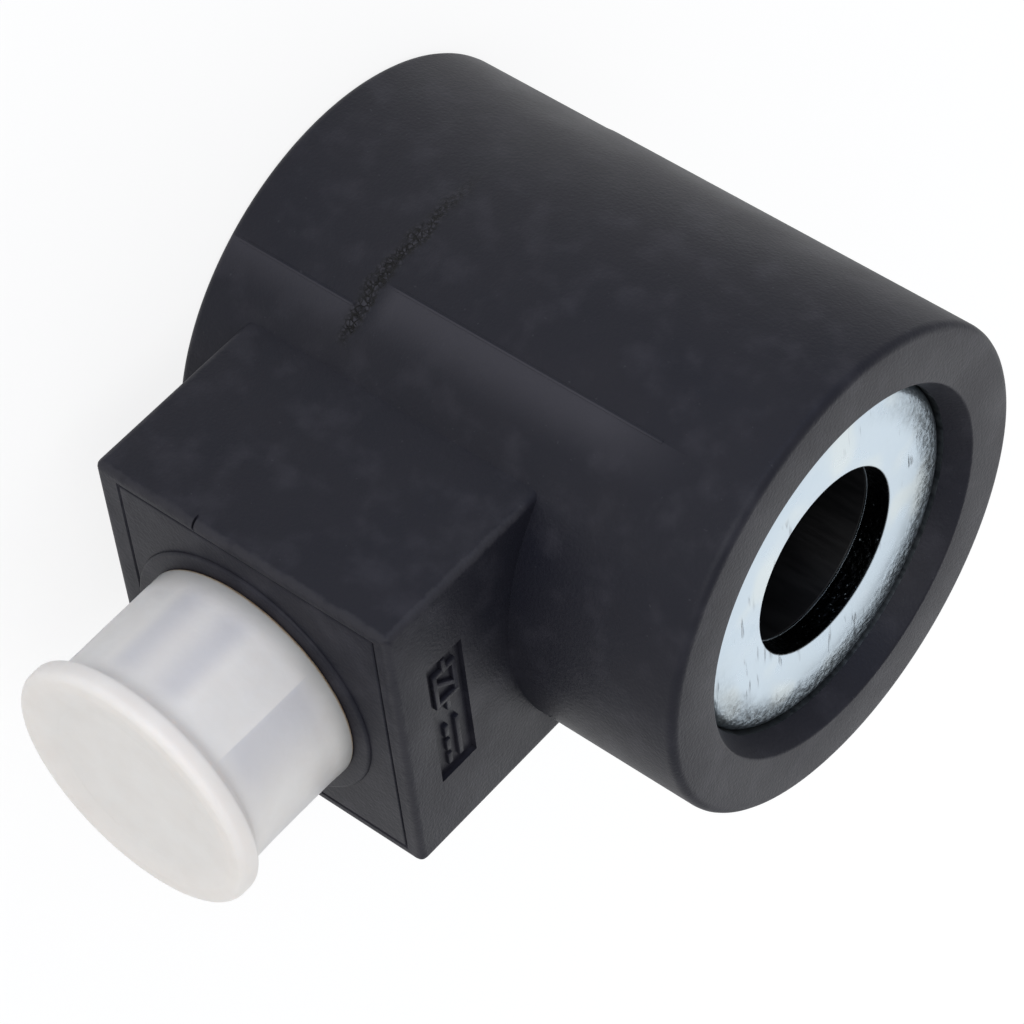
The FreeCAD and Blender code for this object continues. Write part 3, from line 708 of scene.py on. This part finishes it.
# A wave texture of scale 1 repeats every 2 pi / 20 along its axis.
turns = add_node(tree, "TexWave", inputs={"Vector": place, "Scale": math.tau / (20 * WIRE)},
                 bands_direction="Z").outputs["Fac"]
uneven = add_node(tree, "TexNoise", inputs={"Vector": place, "Scale": 1 / (4 * MM), "Detail": 3})
crown = add_node(tree, "Math", turns, uneven, operation="MULTIPLY")
tone = add_node(tree, "Mix", inputs={0: crown, 6: "#5a2413", 7: "#b8673a"}, data_type="RGBA")
height = add_node(tree, "Math", turns, 0.2 * MM, operation="MULTIPLY")
bump = add_node(tree, "Bump", inputs={"Height": height, "Strength": 1.0, "Distance": 1.0})
skin = add_node(tree, "BsdfPrincipled", inputs={
    "Base Color": tone, "Metallic": 1.0, "Roughness": 0.3, "Normal": bump,
    "Coat Weight": 0.6, "Coat Roughness": 0.12})
add_node(tree, "OutputMaterial", skin)
paint(nodes["winding"], copper)

# Polyester film tape: clear yellow and glossy, darker where one wrap laps over the last.
TAPE_LAP = 6.0 * MM
tape, tree, place = new_material("polyester_tape")
laps = add_node(tree, "TexWave", inputs={"Vector": place, "Scale": math.tau / (20 * TAPE_LAP)},
                wave_profile="SAW", bands_direction="Z").outputs["Fac"]
lap_edge = add_node(tree, "MapRange", laps, 0.9, 0.97, **SMOOTH)
crinkle = add_node(tree, "TexNoise", inputs={
    "Vector": place, "Scale": 1 / (1.5 * MM), "Detail": 3})
tone = add_node(tree, "Mix", inputs={0: lap_edge, 6: "#d8b23c", 7: "#a77f1e"}, data_type="RGBA")
dull = add_node(tree, "MapRange", crinkle, 0.3, 0.7, 0.2, 0.35, **SMOOTH)
height = add_node(tree, "Math", crinkle, lap_edge, operation="ADD")
height = add_node(tree, "Math", height, 0.05 * MM, operation="MULTIPLY")
bump = add_node(tree, "Bump", inputs={"Height": height, "Strength": 1.0, "Distance": 1.0})
skin = add_node(tree, "BsdfPrincipled", inputs={
    "Base Color": tone, "Roughness": dull, "Normal": bump})
add_node(tree, "OutputMaterial", skin)
paint(nodes["winding_tape"], tape)


# ---- Leads and terminals ---------------------------------------------------------------------
# Two tinned wires in red silicone sleeves run from the winding to crimped ferrules on the
# header's blades. The blades are stamped from brass strip and tinned.

# Tin over copper or brass: pale grey, faintly yellow, with fine marks along the metal.
for name, dark, light, dullest, marks, stretch, parts in (
        ("tinned_copper", "#8f8d86", "#c4c2ba", 0.42, 0.25 * MM, (1, 0.3, 1),
         ("lead_wire_1", "lead_wire_2", "crimp_ferrule_1", "crimp_ferrule_2")),
        ("tinned_brass", "#a8a292", "#d6d1c2", 0.36, 0.2 * MM, (1, 0.1, 1),
         ("terminal_blade_1", "terminal_blade_2"))):
    metal, tree, place = new_material(name)
    drawn = add_node(tree, "Mapping", inputs={"Vector": place, "Scale": stretch})
    lines = add_node(tree, "TexNoise", inputs={"Vector": drawn, "Scale": 1 / marks, "Detail": 4})
    tone = add_node(tree, "Mix", inputs={0: lines, 6: dark, 7: light}, data_type="RGBA")
    dull = add_node(tree, "MapRange", lines, 0.3, 0.7, dullest - 0.12, dullest, **SMOOTH)
    height = add_node(tree, "Math", lines, 0.015 * MM, operation="MULTIPLY")
    bump = add_node(tree, "Bump", inputs={"Height": height, "Strength": 1.0, "Distance": 1.0})
    skin = add_node(tree, "BsdfPrincipled", inputs={
        "Base Color": tone, "Metallic": 1.0, "Roughness": dull, "Normal": bump})
    add_node(tree, "OutputMaterial", skin)
    for part in parts:
        paint(nodes[part], metal)

# Silicone sleeving over a glass braid: brick red, soft sheen, the braid showing as a fine weave.
silicone, tree, place = new_material("silicone_sleeving")
weave = add_node(tree, "TexVoronoi", inputs={"Vector": place, "Scale": 1 / (0.3 * MM)})
tone = add_node(tree, "Mix", inputs={0: weave, 6: "#8c2f25", 7: "#6d2119"}, data_type="RGBA")
dull = add_node(tree, "MapRange", weave, 0.0, 0.6, 0.45, 0.6, **SMOOTH)
height = add_node(tree, "Math", weave, 0.04 * MM, operation="MULTIPLY")
bump = add_node(tree, "Bump", inputs={"Height": height, "Strength": 1.0, "Distance": 1.0})
skin = add_node(tree, "BsdfPrincipled", inputs={
    "Base Color": tone, "Roughness": dull, "Normal": bump})
add_node(tree, "OutputMaterial", skin)
for part in ("lead_sleeve_1", "lead_sleeve_2"):
    paint(nodes[part], silicone)


# ---- Dust cap --------------------------------------------------------------------------------
# A soft cup of natural polyethylene pushed over the shroud for transport, with a grip flange
# round its closed end. The shroud's corners press faint facets into its wall.

cap_low, cap_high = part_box("dust_cap")
CAP_MOUTH = cap_high.y
CAP_END = cap_low.y
CAP_FLANGE = (cap_high.x - cap_low.x) / 2
CAP_RADIUS = CAP_FLANGE - 1.2 * MM
CAP_WALL = 0.8 * MM
CAP_FLANGE_START = CAP_END + 2.2 * MM
CAP_DISH = 0.4 * MM
CAP_FLOOR = 1.0 * MM
CAP_RIM = 1.6 * MM
CAP_STEPS = 192
CORNER_ANGLE = math.atan2(*SHROUD_HALF)
FACET_HALF = math.radians(13.0)
FACET_SWELL = 0.12 * MM
FLAT_SHARE = 0.16

# Outline as (radius, distance out along the cap), from the mouth's inner edge round the outside.
length = CAP_MOUTH - CAP_END
flange_at = CAP_MOUTH - CAP_FLANGE_START
inner = CAP_RADIUS - CAP_WALL
outline = rounded((
    (inner, 0, 0.15 * MM),
    (CAP_RADIUS, 0, 0.25 * MM),
    (CAP_RADIUS, flange_at - 0.3 * MM, 1.3 * MM),
    (CAP_FLANGE, flange_at + 0.5 * MM, 0.5 * MM),
    (CAP_FLANGE, length, 0.7 * MM),
    (CAP_FLANGE - CAP_RIM, length, 0.9 * MM),
    (CAP_FLANGE - CAP_RIM - 2.2 * MM, length - CAP_DISH, 2.0 * MM),
    (0, length - CAP_DISH, 0),
    (0, length - CAP_DISH - CAP_FLOOR, 0),
    (inner, length - CAP_DISH - CAP_FLOOR, 0.6 * MM),
), 6)
shape = bmesh.new()
spin_outline(shape, outline, CAP_STEPS)
rings = [edge for edge in shape.edges
         if abs(edge.verts[0].co.z - edge.verts[1].co.z) > 3 * MM]
bmesh.ops.subdivide_edges(shape, edges=rings, cuts=16, use_grid_fill=True)


def smooth_step(value, low, high):
    """A share that turns smoothly from 0 at the low level into 1 at the high one."""
    share = min(1, max(0, (value - low) / (high - low)))
    return share * share * (3 - 2 * share)


for vert in shape.verts:
    reach = math.hypot(vert.co.x, vert.co.y)
    out = vert.co.z
    if reach < inner - 0.1 * MM:
        continue
    # Angle from the nearer flat's middle, folded into one quarter of the wall.
    angle = math.atan2(abs(vert.co.x), abs(vert.co.y))
    past_corner = CORNER_ANGLE - angle
    if past_corner < 0:
        share = 1 - (1 - math.cos(FACET_HALF)) * (1 - smooth_step(-past_corner, 0, 0.45))
    elif past_corner < FACET_HALF:
        share = math.cos(FACET_HALF) / math.cos(past_corner)
    else:
        share = 1 - FLAT_SHARE * (1 - math.cos(CORNER_ANGLE - FACET_HALF) / math.cos(angle))
    fade = smooth_step(out, flange_at - 5 * MM, flange_at - 0.6 * MM)
    grip = smooth_step(out, 0.2 * MM, 2.2 * MM) * (1 - fade)
    pressed = (reach + FACET_SWELL) * share
    vert.co.xy *= (reach + (pressed - reach) * grip) / reach
bmesh.ops.rotate(shape, verts=shape.verts, cent=(0, 0, 0),
                 matrix=Matrix.Rotation(math.pi / 2, 3, "X"))
bmesh.ops.translate(shape, verts=shape.verts, vec=(CONNECTOR_X, CAP_MOUTH, CONNECTOR_Z))
cap = finish_piece(shape, "dust_cap_cup", "dust_cap", 50,
                   replaces=("dust_cap",))

# Natural polyethylene: milky and waxy, so light bleeds through the thin wall. It is clearer, and
# looks browner, on the thin edge of the mouth;
# next to the block it is painted greyer, as painted shade where the block and the black parts inside
# darken it.
poly, tree, place = new_material("natural_polyethylene")
from_mouth = add_node(tree, "Mapping", inputs={
    "Vector": place, "Location": (-CONNECTOR_X, -CAP_MOUTH, -CONNECTOR_Z)})
x, y, z = add_node(tree, "SeparateXYZ", from_mouth).outputs
out = add_node(tree, "Math", y, -1.0, operation="MULTIPLY")
mouth = add_node(tree, "MapRange", out, 0.1 * MM, 0.35 * MM, 1.0, 0.0, **SMOOTH)
painted_block_shade = add_node(tree, "MapRange", out, 0.2 * MM, 2.4 * MM, 0.7, 0.0, **SMOOTH)

# Painted shade on the wall beside each facet's crease and at the middle, where the shroud inside
# touches it.
across = add_node(tree, "Math", x, operation="ABSOLUTE")
upward = add_node(tree, "Math", z, operation="ABSOLUTE")
turned = add_node(tree, "Math", across, upward, operation="ARCTAN2")
crease = CORNER_ANGLE - FACET_HALF
beside = add_node(tree, "MapRange", turned, crease - 0.008, crease + 0.008, 1.0, 0.0, **SMOOTH)
fading = add_node(tree, "MapRange", turned, 0.05, 0.65, **SMOOTH)
beside = add_node(tree, "Math", beside, fading, operation="MULTIPLY")
behind = add_node(tree, "MapRange", turned, 1.16, 1.34, **SMOOTH)
fading = add_node(tree, "MapRange", turned, 1.36, 1.57, 1.0, 0.35, **SMOOTH)
behind = add_node(tree, "Math", behind, fading, operation="MULTIPLY")
painted_facet_shade = add_node(tree, "Math", beside, behind, operation="MAXIMUM")
for low, high, start, end in ((0.4 * MM, 3 * MM, 0.0, 1.0),
                              (flange_at - 2.5 * MM, flange_at, 1.0, 0.0)):
    on_wall = add_node(tree, "MapRange", out, low, high, start, end, **SMOOTH)
    painted_facet_shade = add_node(tree, "Math", painted_facet_shade, on_wall, operation="MULTIPLY")

milk = add_node(tree, "TexNoise", inputs={"Vector": place, "Scale": 1 / (3 * MM), "Detail": 3})
tone = add_node(tree, "Mix", inputs={0: milk, 6: "#e6e0da", 7: "#efebe6"}, data_type="RGBA")
# The first two masks are painted shade: on the facets and next to the block.
for mask, share, colour in ((painted_facet_shade, 0.6, "#c3c3c8"), (painted_block_shade, 1.0, "#a6a6a3"),
                            (mouth, 1.0, "#b39a78")):
    cover = add_node(tree, "Math", mask, share, operation="MULTIPLY")
    tone = add_node(tree, "Mix", inputs={0: cover, 6: tone, 7: colour}, data_type="RGBA")
wax = add_node(tree, "TexNoise", inputs={"Vector": place, "Scale": 1 / (1.2 * MM), "Detail": 3})
dull = add_node(tree, "MapRange", wax, 0.3, 0.7, 0.36, 0.48, **SMOOTH)
height = add_node(tree, "Math", milk, 0.08 * MM, operation="MULTIPLY")
bump = add_node(tree, "Bump", inputs={"Height": height, "Strength": 1.0, "Distance": 1.0})
skin = add_node(tree, "BsdfPrincipled", inputs={
    "Base Color": tone, "Roughness": dull, "Subsurface Weight": 1.0,
    "Subsurface Scale": 1.3 * MM, "Subsurface Radius": (1.0, 0.95, 0.9),
    "Specular IOR Level": 0.4, "Normal": bump})
add_node(tree, "OutputMaterial", skin)
paint(cap, poly)


# ---- Camera, light and floor -----------------------------------------------------------------
# The coil lies on white paper under three soft boxes, and a long lens looks down on it from the
# connector's side.

CAMERA_PLACE = Vector((-282.13, -173.60, 189.32)) * MM
CAMERA_FORWARD = Vector((0.7714, 0.4461, -0.4538))
CAMERA_RIGHT = Vector((0.0812, 0.638, 0.7655))
CAMERA_LENS = 165.5
LAMPS_AIM = Vector((0, -10, 25)) * MM

scene = bpy.context.scene
scene.view_settings.view_transform = "Standard"

# The floor lies a hair below the lower ring, so that the two don't share a plane.
FLOOR_GAP = 0.02 * MM
floor_shape = bmesh.new()
bmesh.ops.create_grid(floor_shape, x_segments=1, y_segments=1, size=3.0)
bmesh.ops.translate(floor_shape, vec=(0, 0, cad_box[0][2] - FLOOR_GAP), verts=floor_shape.verts)
floor_mesh = bpy.data.meshes.new("floor")
floor_shape.to_mesh(floor_mesh)
floor_shape.free()
floor = bpy.data.objects.new("floor", floor_mesh)
scene.collection.objects.link(floor)

# Matt white paper. The camera and reflections see it as plain white that only a shadow dims.
white, tree, place = new_material("white_paper")
path = add_node(tree, "LightPath")
seen = add_node(tree, "Math", path.outputs["Is Camera Ray"], path.outputs["Is Glossy Ray"],
                operation="MAXIMUM")
seen = add_node(tree, "Math", seen, path.outputs["Is Transmission Ray"], operation="MAXIMUM")
paper = add_node(tree, "BsdfDiffuse", "#f0f0ee")
shadowed = add_node(tree, "BsdfDiffuse", "#7a7a7a")
glow = add_node(tree, "Emission", "#ffffff", 0.84)
both = add_node(tree, "AddShader", shadowed, glow)
skin = add_node(tree, "MixShader", seen, paper, both)
add_node(tree, "OutputMaterial", skin)
paint(floor, white)

# Soft boxes: (name, place in mm, side in mm, watts, colour), each turned to the object's middle.
for name, place, side, watts, colour in (
        ("key_softbox", (-560, -560, 330), 600, 2.4, "#ffffff"),
        ("window_softbox", (-800, -40, 160), 600, 1.2, "#a8c0f5"),
        ("end_softbox", (540, 460, 420), 700, 1.6, "#ffffff")):
    lamp_data = bpy.data.lights.new(name, "AREA")
    lamp_data.shape = "SQUARE"
    lamp_data.size = side * MM
    lamp_data.energy = watts
    lamp_data.color = srgb(colour)[:3]
    lamp = bpy.data.objects.new(name, lamp_data)
    scene.collection.objects.link(lamp)
    stand = Vector(place) * MM
    turn = (LAMPS_AIM - stand).to_track_quat("-Z", "Y").to_matrix().to_4x4()
    lamp.matrix_world = Matrix.Translation(stand) @ turn

camera_data = bpy.data.cameras.new("camera")
camera_data.lens = CAMERA_LENS
camera_data.sensor_width = 36
camera_data.clip_end = 20
camera = bpy.data.objects.new("camera", camera_data)
scene.collection.objects.link(camera)
camera_up = CAMERA_RIGHT.cross(CAMERA_FORWARD)
turn = Matrix((CAMERA_RIGHT, camera_up, -CAMERA_FORWARD)).transposed().to_4x4()
camera.matrix_world = Matrix.Translation(CAMERA_PLACE) @ turn
scene.camera = camera

world = bpy.data.worlds.new("world")
scene.world = world
world.use_nodes = True
sky = world.node_tree.nodes["Background"]
sky.inputs["Color"].default_value = srgb("#f2f4f8")
sky.inputs["Strength"].default_value = 0.7
